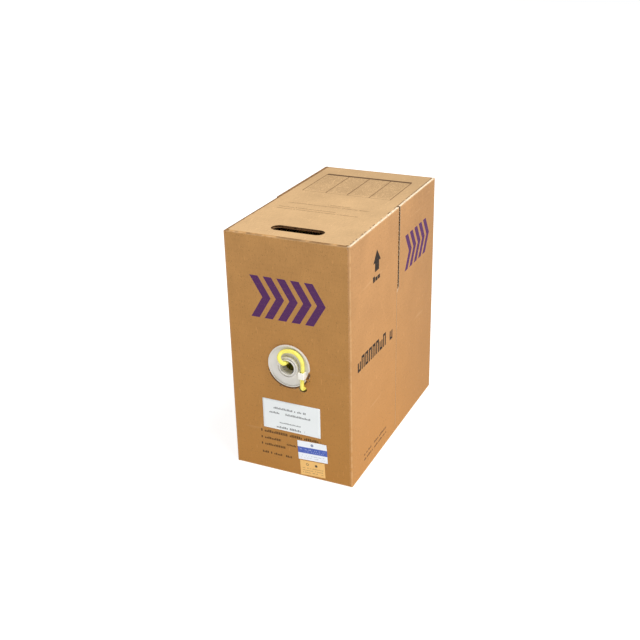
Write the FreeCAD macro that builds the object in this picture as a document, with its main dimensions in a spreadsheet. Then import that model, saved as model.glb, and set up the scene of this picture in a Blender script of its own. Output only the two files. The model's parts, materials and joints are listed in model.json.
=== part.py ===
import FreeCAD, Part
import Sketcher

import math
import os
import re

# A carton that pays out network cable: a corrugated box lying on its side, a white feed tube in its front
# panel, and inside it a plywood spool that turns on an axle between two boards.
# +X is right, +Y is back, +Z is up. The origin is the middle of the bottom face.

# Driving dimensions, in millimetres and degrees.
sizes = {
    # carton
    "width": 200,
    "depth": 360,
    "height": 390,
    "board": 4,
    "inner_flap_parting": 42,
    "fold_gap": 0.2,
    "glue_tab_width": 36,
    "right_seam": 3,
    "left_seam": -9,
    "seam_gap": 0.6,
    "seam_lean": 6,
    "wide_gap": 6,
    "wide_gap_foot": 251,
    # hand hole
    "slot_length": 84,
    "slot_width": 22,
    "slot_setback": 38,
    "slot_shift": 2,
    "slot_clearance": 0.5,
    "slot_flap_angle": 98,
    # feed tube
    "tube_height": 190,
    "tube_bore": 23,
    "barrel_wall": 7.5,
    "tube_hole_clearance": 1,
    "tube_flange_reach": 15,
    "tube_flange_thick": 1.8,
    "tube_rim_width": 1.6,
    "tube_rim_rise": 1.6,
    "collar_ring": 5.5,
    "collar_wall": 1.6,
    "lip_rise": 0.8,
    "collar_length": 8,
    "tube_reach": 6,
    "lock_ring_width": 8,
    "lock_ring_thick": 3.4,
    "lock_clearance": 0.1,
    "barb_rise": 0.9,
    "mouth_bevel": 2,
    "clip_wall": 1.7,
    "clip_tall": 10,
    "clip_to_collar": 1.5,
    "clip_drop": 9,
    "clip_clearance": 0.3,
    "notch": 11,
    "notch_across": 22,
    "notch_drop": 35.5,
    # cable and spool
    "cable": 6,
    "spool_room": 10,
    "spool_end_room": 6,
    "spool_flange_thick": 6,
    "flange_above_winding": 10,
    "core": 100,
    "core_wall": 4,
    "core_groove": 2,
    "core_clearance": 0.1,
    "winding_clearance": 0.2,
    "axle": 20,
    "axle_wall": 2,
    "running_clearance": 0.08,
    "bush_wall": 4,
    "bush_head_rim": 8,
    "bush_head_thick": 5,
    "bush_fit": 0.05,
    "bolt": 6,
    "bolt_circle": 68,
    "bolt_head": 16,
    "bolt_head_thick": 3,
    "bolt_spare": 0.6,
    "bolt_clearance": 0.2,
    "nut_across_corners": 11,
    "nut_thick": 3.2,
    "washer": 18,
    "washer_thick": 1,
    # axle boards and caps
    "pad_thick": 8,
    "pad_clearance": 0.5,
    "cap_head": 36,
    "cap_head_thick": 3,
    "cap_plug": 12,
    "cap_fit": 0.05,
    # labels
    "paper": 0.4,
    "label_wide": 97,
    "label_tall": 51,
    "label_height": 100.5,
    "blue_wide": 49.5,
    "blue_tall": 33,
    "blue_across": 34,
    "blue_height": 48,
    "tan_wide": 42,
    "tan_tall": 26,
    "tan_across": 33.5,
    "tan_height": 17,
    "sticker_tilt": 2.8,
}
bolt_angles = (45, 135, 225, 315)

doc = FreeCAD.newDocument("CableSpoolBox")
sheet = doc.addObject("Spreadsheet::Sheet", "Sizes")
for row, (alias, value) in enumerate(sizes.items(), start=1):
    sheet.set(f"A{row}", alias)
    sheet.set(f"B{row}", str(value))
    sheet.setAlias(f"B{row}", alias)
doc.recompute()

pieces = []


def in_cells(text):
    # puts the spreadsheet's name before each of its aliases
    def named(word):
        return f"Sizes.{word.group()}" if word.group() in sizes else word.group()

    return re.sub(r"[a-z_]+", named, text)


def bind(thing, **formulas):
    for name, text in formulas.items():
        thing.setExpression(name.replace("__", "."), in_cells(text))


def place(thing, x="0", y="0", z="0"):
    bind(thing, Placement__Base__x=x, Placement__Base__y=y, Placement__Base__z=z)


def face_left(piece):
    # turns a right-hand piece half a turn about the vertical, into its twin on the left
    piece.Placement.Rotation = FreeCAD.Rotation(FreeCAD.Vector(0, 0, 1), 180)


def sub_part(thing, label):
    thing.Label = label
    pieces.append(thing)
    return thing


def slab(name, x, y, z):
    # a plain block between two planes on each axis
    block = doc.addObject("Part::Box", name)
    lows = [low for low, high in (x, y, z)]
    length, width, height = (f"({high}) - ({low})" for low, high in (x, y, z))
    bind(block, Length=length, Width=width, Height=height)
    place(block, *lows)
    return block


def rod(name, radius, length, x="0", y="0", z="0", turn=None):
    # a cylinder that starts at a point and runs along +Z, or along the axis that the turn gives it
    cylinder = doc.addObject("Part::Cylinder", name)
    bind(cylinder, Radius=radius, Height=length)
    if turn:
        cylinder.Placement.Rotation = turn
    place(cylinder, x, y, z)
    return cylinder


along_x = FreeCAD.Rotation(FreeCAD.Vector(0, 1, 0), 90)


def joined(name, shapes):
    fuse = doc.addObject("Part::MultiFuse", name)
    fuse.Shapes = shapes
    fuse.Refine = True
    return fuse


def cut(name, base, tool):
    result = doc.addObject("Part::Cut", name)
    result.Base = base
    result.Tool = tool
    return result


def new_sketch(body, plane, name):
    sketch = body.newObject("Sketcher::SketchObject", name)
    origin_plane = [part for part in body.Origin.OriginFeatures if part.Role == plane][0]
    sketch.AttachmentSupport = [(origin_plane, "")]
    sketch.MapMode = "FlatFace"
    return sketch


def pin_point(sketch, edge, point, u, v):
    # holds one point of an edge at signed distances from the sketch's origin
    for kind, text in (("DistanceX", u), ("DistanceY", v)):
        index = sketch.addConstraint(Sketcher.Constraint(kind, -1, 1, edge, point, 1.0))
        sketch.setExpression(f"Constraints[{index}]", in_cells(text))


def outline(sketch, corners):
    # a closed polygon, each corner pinned by its own two formulas
    count = len(corners)
    rough = [FreeCAD.Vector(math.cos(2 * math.pi * k / count), math.sin(2 * math.pi * k / count), 0)
             for k in range(count)]
    first = sketch.GeometryCount
    for k in range(count):
        sketch.addGeometry(Part.LineSegment(rough[k], rough[(k + 1) % count]))
    for k in range(count):
        sketch.addConstraint(Sketcher.Constraint("Coincident", first + k, 2, first + (k + 1) % count, 1))
    for k, (u, v) in enumerate(corners):
        pin_point(sketch, first + k, 1, u, v)


def circle(sketch, u, v, radius):
    edge = sketch.addGeometry(Part.Circle(FreeCAD.Vector(0, 0, 0), FreeCAD.Vector(0, 0, 1), 1))
    pin_point(sketch, edge, 3, u, v)
    index = sketch.addConstraint(Sketcher.Constraint("Radius", edge, 1.0))
    sketch.setExpression(f"Constraints[{index}]", in_cells(radius))


def padded(name, plane, thickness, corners, holes=()):
    # a plate: a polygon with round holes, padded along the plane's own normal
    body = doc.addObject("PartDesign::Body", name)
    sketch = new_sketch(body, plane, f"{name}_outline")
    outline(sketch, corners)
    for u, v, radius in holes:
        circle(sketch, u, v, radius)
    pad = body.newObject("PartDesign::Pad", f"{name}_pad")
    pad.Profile = sketch
    bind(pad, Length=thickness)
    body.Tip = pad
    return body


def turned(name, axis, corners):
    # a lathe profile revolved about the sketch's H_Axis (corners are along, radius) or V_Axis (radius, along)
    body = doc.addObject("PartDesign::Body", name)
    sketch = new_sketch(body, "XY_Plane", f"{name}_profile")
    outline(sketch, corners)
    revolution = body.newObject("PartDesign::Revolution", f"{name}_revolution")
    revolution.Profile = sketch
    revolution.ReferenceAxis = (sketch, [axis])
    revolution.Angle = 360
    body.Tip = revolution
    return body


def rectangle(u, v):
    (u_low, u_high), (v_low, v_high) = u, v
    return [(u_low, v_low), (u_high, v_low), (u_high, v_high), (u_low, v_high)]


# Planes that several pieces share.
side_fold = "width / 2 - board"
inner_side = "width / 2 - 2 * board"
pad_face = "width / 2 - 2 * board - pad_thick"
front = "-depth / 2"
front_inside = "-depth / 2 + board"
back = "depth / 2"
back_inside = "depth / 2 - board"
top_inside = "height - board"
inner_flap = "((height - 2 * board - inner_flap_parting) / 2)"
axle_height = "(height / 2)"
spool_outside = "width / 2 - 2 * board - pad_thick - spool_end_room"
spool_inside = f"{spool_outside} - spool_flange_thick"
spool_radius = "((min(depth; height) - 2 * board) / 2 - spool_room)"
winding_radius = f"({spool_radius} - flange_above_winding)"
barrel_radius = "(tube_bore / 2 + barrel_wall)"
bush_radius = "(axle / 2 + bush_wall)"


def carton():
    across = (f"-({side_fold})", side_fold)
    front_panel = padded(
        "front_panel", "XZ_Plane", "board", rectangle(across, ("0", "height")),
        [("0", "tube_height", f"{barrel_radius} + tube_hole_clearance"),
         ("notch_across", "tube_height - notch_drop", "notch / 2")])
    place(front_panel, y=front_inside)
    sub_part(front_panel, "front_panel")

    sub_part(slab("back_panel", across, (back_inside, back), ("0", "height")), "back_panel")
    sub_part(slab("bottom_panel", across, (front_inside, back_inside), ("0", "board")), "bottom_panel")
    tab = slab("glue_tab", (f"-({pad_face} - pad_clearance)", f"{pad_face} - pad_clearance"),
               (f"{back_inside} - glue_tab_width", back_inside), ("board", "2 * board"))
    sub_part(tab, "glue_tab")

    whole = slab("top_sheet", across, (front_inside, back_inside), (top_inside, "height"))
    row = f"{front} + slot_setback"
    reach = "(slot_length - slot_width) / 2"
    opening = joined("slot", [
        slab("slot_middle", (f"slot_shift - {reach}", f"slot_shift + {reach}"),
             (f"{row} - slot_width / 2", f"{row} + slot_width / 2"), (top_inside, "height")),
        *(rod(f"slot_end_{sign}", "slot_width / 2", "board", f"slot_shift {sign} {reach}", row, top_inside)
          for sign in "-+")])
    sub_part(cut("top_panel", whole, opening), "top_panel")


def side_flaps():
    # the two outer flaps of a side meet in a seam; on the right its upper part gapes and leans
    lean = {"right": "seam_lean", "left": "0"}
    gape = {"right": "wide_gap", "left": "0"}
    for side in ("right", "left"):
        starts = ((f"{side}_seam - seam_gap / 2", "0"), (f"{side}_seam + seam_gap / 2", gape[side]))
        front_edge, rear_edge = (
            [(start, "0"), (start, "wide_gap_foot"),
             (f"{start} + {lean[side]} / 2 + {opening}", "wide_gap_foot + 2 * board"),
             (f"{start} + {lean[side]} + {opening}", "height")]
            for start, opening in starts)
        for end, corners in (
                ("front", [(front, "0"), *front_edge, (front, "height")]),
                ("rear", [*rear_edge, (back, "height"), (back, "0")])):
            flap = padded(f"{side}_{end}_flap", "YZ_Plane", "board", corners)
            place(flap, x=side_fold if side == "right" else "-width / 2")
            sub_part(flap, f"{side}_{end}_flap")

        for end, low, high in (("top", f"{top_inside} - {inner_flap}", f"{top_inside} - fold_gap"),
                               ("bottom", "board + fold_gap", f"board + {inner_flap}")):
            across = (inner_side, side_fold) if side == "right" else (f"-({side_fold})", f"-({inner_side})")
            flap = slab(f"{side}_{end}_inner_flap", across,
                        (f"{front_inside} + pad_clearance", f"{back_inside} - pad_clearance"), (low, high))
            sub_part(flap, f"{side}_{end}_inner_flap")


def hand_hole_flap():
    # the cut-out of the hand hole, hinged on the slot's front edge and pushed down inside
    reach = "(slot_length - slot_width) / 2"
    radius = "slot_width / 2 - slot_clearance"
    flap = joined("hand_hole_flap", [
        slab("flap_middle", (f"-{reach}", reach),
             ("slot_clearance", "slot_width - slot_clearance"), ("0", "board")),
        *(rod(f"flap_end_{sign}", radius, "board", f"{sign}{reach}", "slot_width / 2") for sign in "-+")])
    flap.Placement.Rotation = FreeCAD.Rotation(FreeCAD.Vector(-1, 0, 0), sizes["slot_flap_angle"])
    bind(flap, Placement__Rotation__Angle="slot_flap_angle")
    place(flap, "slot_shift", f"{front} + slot_setback - slot_width / 2", top_inside)
    sub_part(flap, "hand_hole_flap")


def feed_tube():
    # out is -Y; the profile starts at the inner mouth and goes round the outside to the collar's lip
    bore, barrel, collar = "tube_bore / 2", barrel_radius, "(tube_bore / 2 + collar_ring)"
    reach = "board + tube_reach"
    barb = "board + lock_ring_thick + lock_clearance"
    lip = f"{bore} + collar_wall"
    groove_floor = "-collar_length + collar_wall"
    rim = f"({barrel_radius} + tube_flange_reach)"
    rim_face = "-tube_flange_thick - tube_rim_rise"
    tube = turned("feed_tube", "V_Axis", [
        (f"{bore} + mouth_bevel", reach), (f"{barrel} - barb_rise", reach),
        (f"{barrel} + barb_rise", f"{barb} + barb_rise"), (f"{barrel} + barb_rise", barb), (barrel, barb),
        (barrel, "0"), (rim, "0"), (rim, rim_face), (f"{rim} - tube_rim_width", rim_face),
        (f"{rim} - tube_rim_width", "-tube_flange_thick"),
        (collar, "-tube_flange_thick"), (collar, "-collar_length"),
        (f"{collar} - collar_wall", "-collar_length"), (f"{collar} - collar_wall", groove_floor),
        (lip, groove_floor), (lip, "-collar_length - lip_rise"),
        (bore, "-collar_length - lip_rise"), (bore, f"{reach} - mouth_bevel")])
    place(tube, y=front, z="tube_height")
    sub_part(tube, "feed_tube")

    inner = f"{barrel_radius} + lock_clearance"
    outer = f"{barrel_radius} + lock_ring_width"
    ring = turned("tube_lock_ring", "V_Axis", [
        (inner, "board"), (outer, "board"), (outer, "board + lock_ring_thick / 2"),
        (f"{inner} + barb_rise * 3", "board + lock_ring_thick"), (inner, "board + lock_ring_thick")])
    place(ring, y=front, z="tube_height")
    sub_part(ring, "tube_lock_ring")

    # a bridge over the cable, standing on the flange's dished face
    half = "(cable / 2 + clip_clearance)"
    roof = "-(cable + 4 * clip_clearance)"
    clip = padded("cable_clip", "XY_Plane", "clip_tall", [
        (f"-{half} - clip_wall", "0"), (f"-{half}", "0"), (f"-{half}", roof), (half, roof), (half, "0"),
        (f"{half} + clip_wall", "0"), (f"{half} + clip_wall", f"{roof} - clip_wall"),
        (f"-{half} - clip_wall", f"{roof} - clip_wall")])
    place(clip, f"{collar} + clip_to_collar + clip_wall + {half}", f"{front} - tube_flange_thick",
          "tube_height - clip_drop - clip_tall / 2")
    sub_part(clip, "cable_clip")


# The cable's free end. Places across and up are from the feed tube's axis, and places out from the carton's
# front face. It leaves the full winding from above, bends into the tube, comes out over the collar, goes
# clockwise round it on the flange, through the clip, over the rim and in again through the notch.
tail_route = [
    (-24.0, 42.0, 84.7),
    (-14.0, 19.0, 44.9),
    (-4.5, 13.5, 22.0),
    (-2.5, 13.5, 7.4),
    (-2.6, -1.0, 7.0),
    (-3.0, -13.4, 7.0),
    (-11.0, -14.4, 15.5),
    (-10.5, -6.4, 23.0),
    (0.0, -5.4, 26.8),
    (10.5, -5.1, 26.6),
    (19.0, -5.1, 21.0),
    (24.0, -5.1, 12.5),
    (24.4, -5.1, 2.5),
    (23.5, -5.0, -7.5),
    (23.4, -5.5, -16.0),
    (23.5, -7.2, -21.6),
    (23.5, -6.9, -34.2),
    (23.2, 7.0, -34.4),
]


def rounded_path(points, share=0.45):
    # straight runs joined by tangent arcs, each as large as its two runs allow
    edges = []
    radii = []
    length = 0
    start = points[0]
    for before, corner, after in zip(points, points[1:], points[2:]):
        arriving = corner - before
        leaving = after - corner
        turn = arriving.getAngle(leaving)
        trim = share * min(arriving.Length, leaving.Length)
        radius = trim / math.tan(turn / 2)
        arc_start = corner - FreeCAD.Vector(arriving).normalize() * trim
        arc_end = corner + FreeCAD.Vector(leaving).normalize() * trim
        inward = (arc_start + arc_end) * 0.5 - corner
        middle = corner + inward.normalize() * (radius / math.cos(turn / 2) - radius)
        edges.append(Part.LineSegment(start, arc_start).toShape())
        edges.append(Part.Arc(arc_start, middle, arc_end).toShape())
        length += (arc_start - start).Length + radius * turn
        radii.append(radius)
        start = arc_end
    edges.append(Part.LineSegment(start, points[-1]).toShape())
    length += (points[-1] - start).Length
    return Part.Wire(edges), radii, length


def cable_tail():
    base = FreeCAD.Vector(0, -sheet.get("depth") / 2, sheet.get("tube_height"))
    points = [base + FreeCAD.Vector(*place_on_route) for place_on_route in tail_route]
    path, radii, length = rounded_path(points)
    route = doc.addObject("Part::Feature", "tail_centre_line")
    route.Shape = path
    section = doc.addObject("Part::Circle", "tail_section")
    bind(section, Radius="cable / 2")
    towards = FreeCAD.Rotation(FreeCAD.Vector(0, 0, 1), points[1] - points[0])
    section.Placement = FreeCAD.Placement(points[0], towards)
    tail = doc.addObject("Part::Sweep", "cable_tail")
    tail.Sections = [section]
    tail.Spine = (route, [f"Edge{number + 1}" for number in range(len(path.Edges))])
    tail.Solid = True
    tail.Frenet = False
    sub_part(tail, "cable_tail")
    doc.recompute()
    expected = math.pi * sheet.get("cable") ** 2 / 4 * length
    print(f"cable tail {length:.0f} mm long, radii", [round(radius, 1) for radius in radii],
          f"volume against section times length {tail.Shape.Volume / expected:.4f}")


def spool():
    core_end = f"{spool_inside} + core_groove - core_clearance"
    core = turned("spool_core", "H_Axis", rectangle(
        (f"-({core_end})", core_end), ("core / 2 - core_wall", "core / 2")))
    winding = turned("cable_winding", "H_Axis", rectangle(
        (f"-({spool_inside} - winding_clearance)", f"{spool_inside} - winding_clearance"),
        ("core / 2 + core_clearance", winding_radius)))
    for piece in (core, winding):
        place(piece, z=axle_height)
        sub_part(piece, piece.Name)

    for side in ("right", "left"):
        # a disc with a bore for the bush, a groove for the core and four bolt holes
        hub = f"{bush_radius} + bush_fit"
        groove = f"{spool_inside} + core_groove"
        disc = turned(f"{side}_spool_disc", "H_Axis", [
            (spool_inside, hub), (spool_inside, "core / 2 - core_wall - core_clearance"),
            (groove, "core / 2 - core_wall - core_clearance"), (groove, "core / 2 + core_clearance"),
            (spool_inside, "core / 2 + core_clearance"), (spool_inside, spool_radius),
            (spool_outside, spool_radius), (spool_outside, hub)])
        holes = joined(f"{side}_bolt_holes", [
            rod(f"{side}_bolt_hole_{angle}", "bolt / 2 + bolt_clearance", "spool_flange_thick", spool_inside,
                f"bolt_circle / 2 * cos({angle} deg)", f"bolt_circle / 2 * sin({angle} deg)", along_x)
            for angle in bolt_angles])
        flange = cut(f"{side}_spool_flange", disc, holes)
        shaft = "axle / 2 + running_clearance"
        head = f"{bush_radius} + bush_head_rim"
        bush = turned(f"{side}_hub_bush", "H_Axis", [
            (spool_inside, shaft), (spool_inside, bush_radius), (spool_outside, bush_radius),
            (spool_outside, head), (f"{spool_outside} + bush_head_thick - 1", head),
            (f"{spool_outside} + bush_head_thick", f"{head} - 1"),
            (f"{spool_outside} + bush_head_thick", shaft)])
        for piece in (flange, bush):
            if side == "left":
                face_left(piece)
            place(piece, z=axle_height)
            sub_part(piece, piece.Name)


def tie_hardware():
    # four bolts from the left flange to the right one, each with a washer and a nut
    end = f"{spool_outside} + washer_thick + nut_thick"
    groups = {"tie_bolts": [], "tie_washers": [], "tie_nuts": []}
    for angle in bolt_angles:
        y = f"bolt_circle / 2 * cos({angle} deg)"
        z = f"{axle_height} + bolt_circle / 2 * sin({angle} deg)"
        shank = rod(f"shank_{angle}", "bolt / 2", f"{spool_outside} + {end} + bolt_spare",
                    f"-({spool_outside})", y, z, along_x)
        head = doc.addObject("Part::Cone", f"head_{angle}")
        bind(head, Radius1="bolt_head / 4", Radius2="bolt_head / 2", Height="bolt_head_thick")
        head.Placement.Rotation = along_x
        place(head, f"-({spool_outside}) - bolt_head_thick", y, z)
        groups["tie_bolts"].append(joined(f"tie_bolt_{angle}", [shank, head]))

        hole = "bolt / 2 + bush_fit"
        washer = cut(f"tie_washer_{angle}",
                     rod(f"washer_disc_{angle}", "washer / 2", "washer_thick", spool_outside, y, z, along_x),
                     rod(f"washer_hole_{angle}", hole, "washer_thick", spool_outside, y, z, along_x))
        groups["tie_washers"].append(washer)
        prism = doc.addObject("Part::Prism", f"nut_blank_{angle}")
        prism.Polygon = 6
        bind(prism, Circumradius="nut_across_corners / 2", Height="nut_thick")
        prism.Placement.Rotation = along_x
        seat = f"{spool_outside} + washer_thick"
        place(prism, seat, y, z)
        groups["tie_nuts"].append(cut(f"tie_nut_{angle}", prism, rod(
            f"nut_hole_{angle}", hole, "nut_thick", seat, y, z, along_x)))
    for label, members in groups.items():
        group = doc.addObject("Part::Compound", label)
        group.Links = members
        sub_part(group, label)


def axle():
    tube = turned("axle_tube", "H_Axis", rectangle(
        (f"-({inner_side})", inner_side), ("axle / 2 - axle_wall", "axle / 2")))
    place(tube, z=axle_height)
    sub_part(tube, "axle_tube")
    for side in ("right", "left"):
        pad = padded(f"{side}_axle_pad", "YZ_Plane", "pad_thick", rectangle(
            (f"{front_inside} + pad_clearance", f"{back_inside} - pad_clearance"),
            ("board", f"{top_inside} - pad_clearance")),
            [("0", axle_height, "axle / 2 + running_clearance")])
        place(pad, x=pad_face if side == "right" else f"-({inner_side})")
        sub_part(pad, f"{side}_axle_pad")
        plug = "axle / 2 - axle_wall - cap_fit"
        cap = turned(f"{side}_axle_cap", "H_Axis", [
            (f"{inner_side} - cap_plug", "0"), (f"{inner_side} - cap_plug", f"{plug} - 1"),
            (f"{inner_side} - cap_plug + 1", plug), (inner_side, plug), (inner_side, "cap_head / 2"),
            (f"{inner_side} + cap_head_thick", "cap_head / 2"), (f"{inner_side} + cap_head_thick", "0")])
        if side == "left":
            face_left(cap)
        place(cap, z=axle_height)
        sub_part(cap, f"{side}_axle_cap")


def labels():
    # paper on the front panel; the two stickers are a little out of square
    for name, across, height, wide, tall, tilt in (
            ("shipping_label", "0", "label_height", "label_wide", "label_tall", "0"),
            ("blue_sticker", "blue_across", "blue_height", "blue_wide", "blue_tall", "sticker_tilt"),
            ("tan_sticker", "tan_across", "tan_height", "tan_wide", "tan_tall", "sticker_tilt")):
        label = padded(name, "XZ_Plane", "paper", rectangle(
            (f"-{wide} / 2", f"{wide} / 2"), (f"-{tall} / 2", f"{tall} / 2")))
        label.Placement.Rotation = FreeCAD.Rotation(FreeCAD.Vector(0, -1, 0), 1)
        bind(label, Placement__Rotation__Angle=tilt)
        place(label, across, front, height)
        sub_part(label, name)


carton()
side_flaps()
hand_hole_flap()
feed_tube()
cable_tail()
spool()
tie_hardware()
axle()
labels()

doc.recompute()
for thing in doc.Objects:
    if "Invalid" in thing.State or "Error" in thing.State:
        raise RuntimeError(f"{thing.Name} failed: {thing.State}")
os.makedirs("parts", exist_ok=True)
for piece in pieces:
    if piece.Shape.isNull() or not piece.Shape.isValid():
        raise RuntimeError(f"{piece.Label} has no valid shape")
for piece in pieces:
    piece.Shape.exportStep(f"parts/{piece.Label}.step")
    box = piece.Shape.BoundBox
    print(f"{piece.Label:24s} {len(piece.Shape.Solids)} solid(s)  X {box.XMin:.1f} {box.XMax:.1f}",
          f" Y {box.YMin:.1f} {box.YMax:.1f}  Z {box.ZMin:.1f} {box.ZMax:.1f}")
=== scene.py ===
import json
import math
import random

import bmesh
import bpy
from mathutils import Matrix, Vector
from mathutils.geometry import tessellate_polygon


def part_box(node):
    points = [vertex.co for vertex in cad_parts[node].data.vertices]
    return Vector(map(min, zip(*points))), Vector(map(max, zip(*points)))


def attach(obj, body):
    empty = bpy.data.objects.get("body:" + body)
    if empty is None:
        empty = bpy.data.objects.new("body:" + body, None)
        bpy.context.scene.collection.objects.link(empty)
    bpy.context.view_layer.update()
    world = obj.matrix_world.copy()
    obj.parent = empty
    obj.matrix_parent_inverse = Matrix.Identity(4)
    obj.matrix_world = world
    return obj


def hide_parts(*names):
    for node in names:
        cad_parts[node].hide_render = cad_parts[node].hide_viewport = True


# A corrugated carton that pays out network cable through a white feed tube. All lengths here are millimetres,
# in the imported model's own frame, and each mesh is scaled to metres as it is made.

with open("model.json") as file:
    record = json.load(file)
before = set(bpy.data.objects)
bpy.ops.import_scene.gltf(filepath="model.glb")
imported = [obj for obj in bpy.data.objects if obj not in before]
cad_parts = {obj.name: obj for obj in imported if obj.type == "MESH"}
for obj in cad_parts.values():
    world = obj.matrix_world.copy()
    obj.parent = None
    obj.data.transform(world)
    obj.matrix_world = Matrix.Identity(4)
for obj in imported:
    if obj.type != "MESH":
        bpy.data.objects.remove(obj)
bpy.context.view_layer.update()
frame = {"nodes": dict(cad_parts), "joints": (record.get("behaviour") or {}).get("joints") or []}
scene = bpy.context.scene
print("frame loaded:", len(frame["nodes"]), "nodes")


def cad(node):
    # a node's low and high corner
    return [corner * 1000 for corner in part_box(node)]


def hinge(name):
    # a joint's place and its two stops
    joint = next(joint for joint in frame["joints"] if joint["name"] == name)
    return Vector(joint["pos_m"]) * 1000, [math.radians(stop) for stop in joint["range_deg"]]


low, high = cad("back_panel")
width, depth, height = cad("right_rear_flap")[1].x * 2, high.y * 2, high.z
boardThick = high.y - low.y
tubeLow, tubeHigh = cad("feed_tube")
tubeCentre = Vector((0, -depth / 2, (tubeLow.z + tubeHigh.z) / 2))
axleHeight = (cad("axle_tube")[0].z + cad("axle_tube")[1].z) / 2


view = {"azimuth": 25.403, "elevation": 24.465, "roll": -1.363, "distance": 1584.4, "lens": 54.46,
        "aside": -30.1, "up": -6.1}


def makeCamera():
    azimuth, elevation, roll = (math.radians(view[key]) for key in ("azimuth", "elevation", "roll"))
    back = Vector((math.sin(azimuth) * math.cos(elevation), -math.cos(azimuth) * math.cos(elevation),
                   math.sin(elevation)))
    level = Vector((0, 0, 1)).cross(back).normalized()
    upright = back.cross(level)
    right = level * math.cos(roll) + upright * math.sin(roll)
    up = upright * math.cos(roll) - level * math.sin(roll)
    place = Vector((0, 0, height / 2)) + back * view["distance"] + right * view["aside"] + up * view["up"]
    camera = bpy.data.objects.new("camera", bpy.data.cameras.new("camera"))
    camera.data.lens = view["lens"]
    camera.matrix_world = Matrix.LocRotScale(place / 1000, Matrix((right, up, back)).transposed(), None)
    scene.collection.objects.link(camera)
    scene.camera = camera


makeCamera()
print("camera ready")


class Wire:
    # a socket of a node tree: arithmetic on it adds Math nodes
    def __init__(self, tree, socket=None):
        self.tree = tree
        self.socket = socket

    def node(self, kind, settings=None, inputs=None, out=0):
        # any other node: its settings first, then the values or links of its sockets
        made = self.tree.nodes.new("ShaderNode" + kind)
        for name, value in (settings or {}).items():
            setattr(made, name, value)
        for key, value in (inputs or {}).items():
            if isinstance(value, Wire):
                self.tree.links.new(value.socket, made.inputs[key])
            else:
                made.inputs[key].default_value = value
        return Wire(self.tree, made.outputs[out])

    def calc(self, operation, *values):
        return self.node("Math", {"operation": operation}, dict(enumerate(values)))

    def __add__(self, other):
        return self.calc("ADD", self, other)

    def __radd__(self, other):
        return self.calc("ADD", other, self)

    def __sub__(self, other):
        return self.calc("SUBTRACT", self, other)

    def __rsub__(self, other):
        return self.calc("SUBTRACT", other, self)

    def __mul__(self, other):
        return self.calc("MULTIPLY", self, other)

    def __rmul__(self, other):
        return self.calc("MULTIPLY", other, self)

    def __truediv__(self, other):
        return self.calc("DIVIDE", self, other)

    def __lt__(self, other):
        return self.calc("LESS_THAN", self, other)

    def __gt__(self, other):
        return self.calc("GREATER_THAN", self, other)

    def __abs__(self):
        return self.calc("ABSOLUTE", self)


def sine(value):
    return value.calc("SINE", value)


def whole(value):
    return value.calc("FLOOR", value)


def part(value):
    return value.calc("FRACT", value)


def larger(one, two):
    return one.calc("MAXIMUM", one, two)


def smaller(one, two):
    return one.calc("MINIMUM", one, two)


def distance(across, up):
    return across.calc("SQRT", across * across + up * up)


def ease(value, start, end):
    # 0 before start, 1 after end
    return value.node("MapRange", {"interpolation_type": "SMOOTHSTEP"},
                      {"Value": value, "From Min": start, "From Max": end})


def within(value, start, end):
    return (value > start) * (value < end)


def stroke(value, middle, thick):
    return abs(value - middle) < thick / 2


def point(x, y, z):
    return x.node("CombineXYZ", inputs={0: x, 1: y, 2: z})


def noise(place, size, detail=2.0):
    # clouds about as wide as size
    return place.node("TexNoise", inputs={"Vector": place, "Scale": 1 / size, "Detail": detail})


def chance(value):
    # one random number for each whole number
    return value.node("TexWhiteNoise", {"noise_dimensions": "1D"}, {"W": value})


def blend(mask, under, over):
    return mask.node("Mix", {"data_type": "RGBA"}, {0: mask, 6: under, 7: over}, out=2)


def bump(reliefs):
    # the relief is in millimetres
    return reliefs.node("Bump", inputs={"Height": reliefs, "Distance": 0.001, "Strength": 1.0})


def paint(red, green, blue):
    # a screen colour as the shader wants it
    return tuple(((value / 255 + 0.055) / 1.055) ** 2.4 for value in (red, green, blue)) + (1.0,)


def shaded(colour, share):
    return tuple(value * share for value in colour[:3]) + (1.0,)


def makeMaterial(name, recipe, **constants):
    # recipe takes x, y and z in millimetres and returns what varies over the surface
    material = bpy.data.materials.new(name)
    material.use_nodes = True
    tree = material.node_tree
    shader = tree.nodes["Principled BSDF"]
    place = Wire(tree).node("TexCoord", out="Object")
    split = place.node("SeparateXYZ", inputs={0: place}).socket.node
    x, y, z = (Wire(tree, socket) * 1000 for socket in split.outputs)
    for key, value in constants.items():
        shader.inputs[key.replace("_", " ")].default_value = value
    for key, wire in recipe(x, y, z).items():
        tree.links.new(wire.socket, shader.inputs[key])
    return material


# ink colours for the print; crease is a dark brown that serves the table's far line and the seam's joint, and
# is also the painted shade along the top's folds and the painted shadow under the feed tube's flange
inkAndShade = {"purple": paint(78, 34, 92), "black": paint(16, 12, 10), "faded": paint(92, 60, 30),
       "crease": paint(70, 44, 22), "coverage": 0.97}
# the painted shade lines along the top's folds: how wide, how solid and how broken
crease = {"wide": 2.6, "solid": 0.3, "deep": 3, "patch": 9, "frontWide": 1.5, "frontSolid": 0.4}
# where the painted shadow under the feed tube's flange lies and how it breaks up
flangeShadow = {"left": 1.6, "drop": 2.4, "patch": 7, "under": 1, "past": 2.2, "below": 8}


def chevrons(across, up, mark):
    # the generic mark: a row of arrowheads
    slope = mark["slope"]
    lean = across - mark["left"] + abs(up - mark["middle"]) * slope - mark["tall"] / 2 * slope
    row = within(lean, 0, mark["pitch"] * mark["count"]) * (part(lean / mark["pitch"]) < mark["duty"])
    return row * (abs(up - mark["middle"]) < mark["tall"] / 2)


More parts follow.
